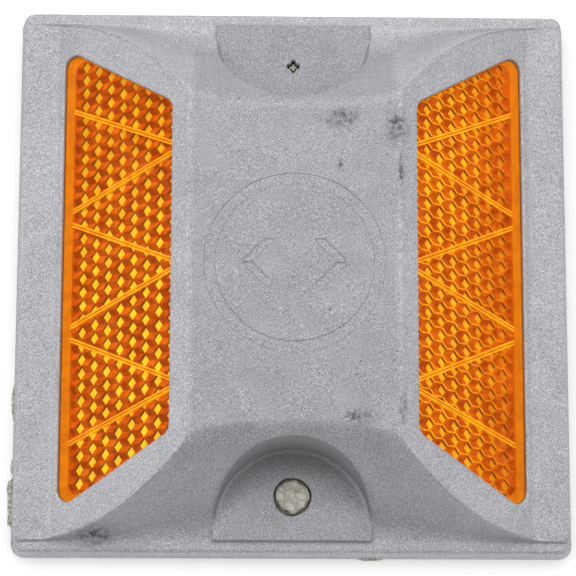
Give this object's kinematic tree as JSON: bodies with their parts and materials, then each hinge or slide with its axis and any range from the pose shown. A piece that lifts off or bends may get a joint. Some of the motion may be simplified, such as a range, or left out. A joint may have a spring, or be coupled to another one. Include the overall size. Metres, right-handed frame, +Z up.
{
  "type": "raised pavement marker",
  "caption": "Low square cast road stud with a flat top, sloping amber prismatic reflectors at opposite ends, scooped sides with half-round pockets and a flat base for bonding.",
  "frame": {"origin": "middle of the flat base, at road level", "axes": "+X from the west reflector to the east reflector, +Y from the pour-hole pocket to the vent pocket, +Z up from the road"},
  "size_m": [0.1, 0.1, 0.02],
  "materials": {
    "cast_housing": "matte blasted casting",
    "filler": "rough resin and sand",
    "amber_lens": "clear amber acrylic, glossy",
    "backing": "moulded plate",
    "adhesive": "cured sealant"
  },
  "bodies": {
    "root": {"housing_shell": "cast_housing", "filler_block": "filler", "lens_east": "amber_lens", "lens_backing_east": "backing", "lens_adhesive_east": "adhesive", "lens_west": "amber_lens", "lens_backing_west": "backing", "lens_adhesive_west": "adhesive"}
  },
  "joints": []
}
